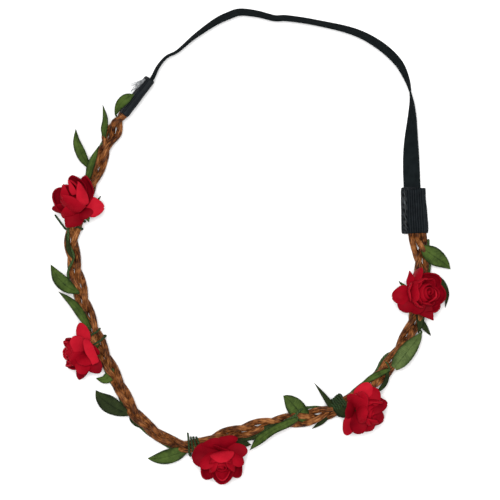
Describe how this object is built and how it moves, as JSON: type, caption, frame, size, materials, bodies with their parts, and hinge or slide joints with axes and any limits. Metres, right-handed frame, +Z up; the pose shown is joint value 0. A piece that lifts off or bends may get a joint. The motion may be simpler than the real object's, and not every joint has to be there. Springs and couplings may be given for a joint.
{
  "type": "flower crown",
  "caption": "Plaited cord headband with a leaf vine, small red roses on bendable wires and an elastic strap at the back.",
  "frame": {"origin": "middle of the crown's outline, on the table it lies on", "axes": "+Z up from the table, +Y towards the elastic strap at the back of the crown, +X towards the flat cuff"},
  "size_m": [0.177, 0.2096, 0.03],
  "materials": {
    "cord": "matte waxed cord",
    "wire": "matte paper-covered wire",
    "vine": "matte paper-covered stem",
    "leaf": "matte",
    "calyx": "matte",
    "petal": "soft matte foam",
    "cuff": "ribbed matte",
    "strap": "woven matte"
  },
  "bodies": {
    "braid_band": {"cord_a": "cord", "cord_b": "cord", "cord_c": "cord", "left_cuff": "cuff", "right_cuff": "cuff", "rose_1_wire": "wire", "rose_2_wire": "wire", "rose_3_wire": "wire", "rose_4_wire": "wire", "rose_5_wire": "wire", "vine_leaf_01_cuff": "leaf", "vine_leaf_02": "leaf", "vine_leaf_03_under": "leaf", "vine_leaf_04": "leaf", "vine_leaf_05": "leaf", "vine_leaf_06_broad": "leaf", "vine_leaf_07": "leaf", "vine_leaf_08_small": "leaf", "vine_leaf_09_wide": "leaf", "vine_leaf_10": "leaf", "vine_leaf_11_inside": "leaf", "vine_leaf_12_over": "leaf", "vine_leaf_13_spike": "leaf", "vine_leaf_14": "leaf", "vine_leaf_15_over": "leaf", "vine_leaf_16": "leaf", "vine_leaf_17_broad": "leaf", "vine_leaf_18": "leaf", "vine_stem": "vine"},
    "rose_1_head": {"rose_1_bud": "petal", "rose_1_calyx": "calyx", "rose_1_inner_petals": "petal", "rose_1_outer_petals": "petal"},
    "rose_2_head": {"rose_2_bud": "petal", "rose_2_calyx": "calyx", "rose_2_inner_petals": "petal", "rose_2_outer_petals": "petal"},
    "rose_3_head": {"rose_3_bud": "petal", "rose_3_calyx": "calyx", "rose_3_inner_petals": "petal", "rose_3_outer_petals": "petal"},
    "rose_4_head": {"rose_4_bud": "petal", "rose_4_calyx": "calyx", "rose_4_inner_petals": "petal", "rose_4_outer_petals": "petal"},
    "rose_5_head": {"rose_5_bud": "petal", "rose_5_calyx": "calyx", "rose_5_inner_petals": "petal", "rose_5_outer_petals": "petal"},
    "strap": {"elastic_strap": "strap"}
  },
  "joints": [
    {"name": "rose_1_bend", "type": "hinge", "parent": "braid_band", "child": "rose_1_head", "pos_m": [-0.07288, 0.0166, 0.01319], "axis": [0.743, 0.6693, 0], "range_deg": [-12, 25]},
    {"name": "rose_2_bend", "type": "hinge", "parent": "braid_band", "child": "rose_2_head", "pos_m": [-0.07065, -0.04588, 0.011], "axis": [-0.0433, 0.9991, 0], "range_deg": [-4, 25]},
    {"name": "rose_3_bend", "type": "hinge", "parent": "braid_band", "child": "rose_3_head", "pos_m": [-0.01262, -0.0877, 0.01217], "axis": [-0.9999, 0.0122, 0], "range_deg": [-15, 25]},
    {"name": "rose_4_bend", "type": "hinge", "parent": "braid_band", "child": "rose_4_head", "pos_m": [0.04504, -0.07036, 0.01274], "axis": [-0.2592, -0.9658, 0], "range_deg": [-15, 25]},
    {"name": "rose_5_bend", "type": "hinge", "parent": "braid_band", "child": "rose_5_head", "pos_m": [0.07086, -0.02003, 0.01303], "axis": [0.0691, -0.9976, 0], "range_deg": [-12, 25]},
    {"name": "strap_stretch", "type": "slide", "parent": "braid_band", "child": "strap", "axis": [0.3879, 0.9217, 0], "range_m": [0, 0.03], "stiffness_N_per_m": 50, "deforming": ["elastic_strap"]}
  ]
}
